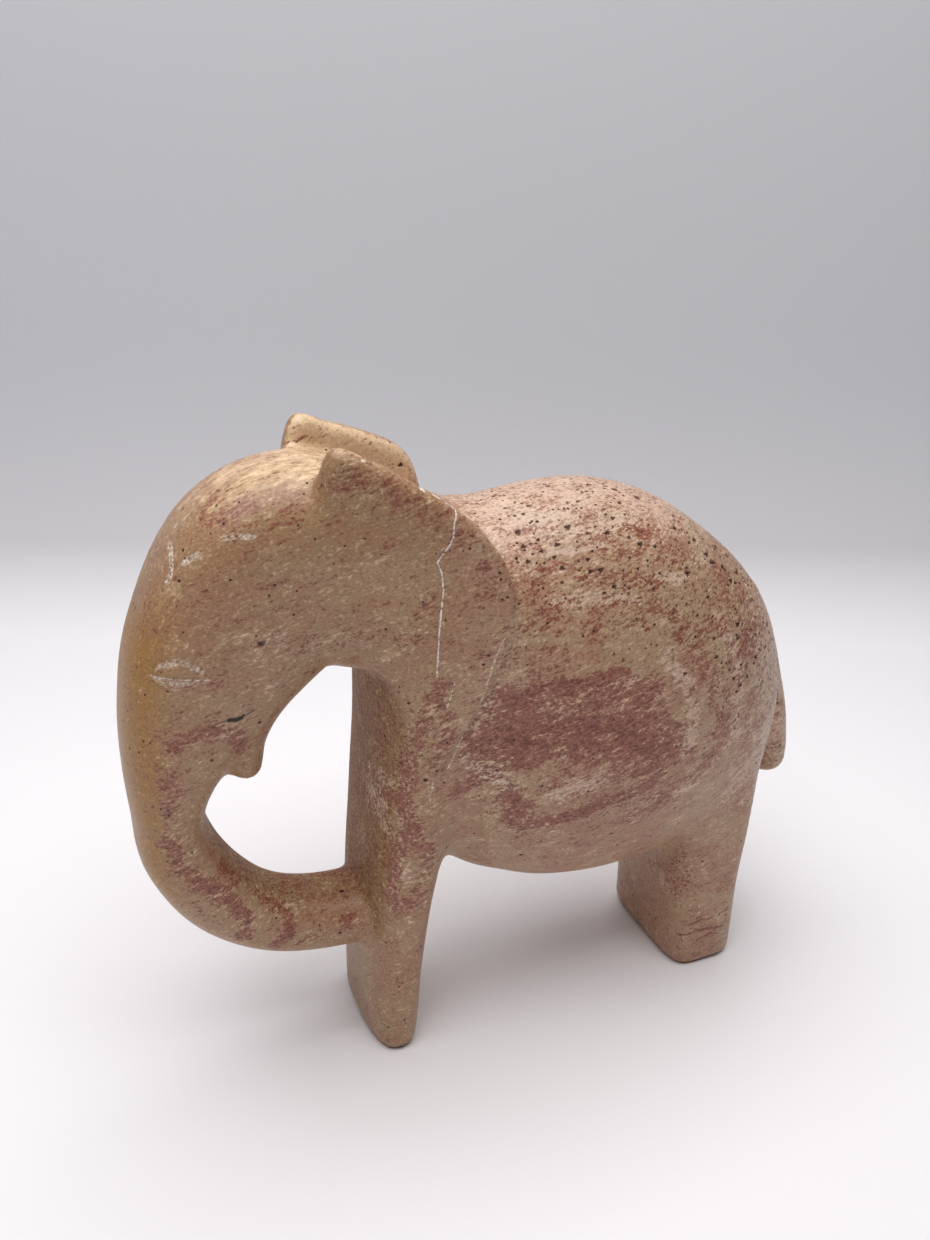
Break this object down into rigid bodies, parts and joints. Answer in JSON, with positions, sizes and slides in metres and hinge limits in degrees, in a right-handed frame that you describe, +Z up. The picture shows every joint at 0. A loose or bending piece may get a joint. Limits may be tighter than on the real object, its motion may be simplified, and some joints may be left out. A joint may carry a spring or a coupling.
{
  "type": "elephant figurine",
  "caption": "Carved stone elephant standing on slab legs, trunk curled back to the front legs, leaf ears raised above the crown, tail laid on the rump.",
  "frame": {"origin": "on the ground under the middle of the figure's length and width", "axes": "+Z up; the elephant faces -Y, its tail is towards +Y and X runs across it"},
  "size_m": [0.046, 0.1424, 0.1267],
  "materials": {
    "stone": "polished satin, mottled rose and tan"
  },
  "bodies": {
    "root": {"elephant": "stone"}
  },
  "joints": []
}
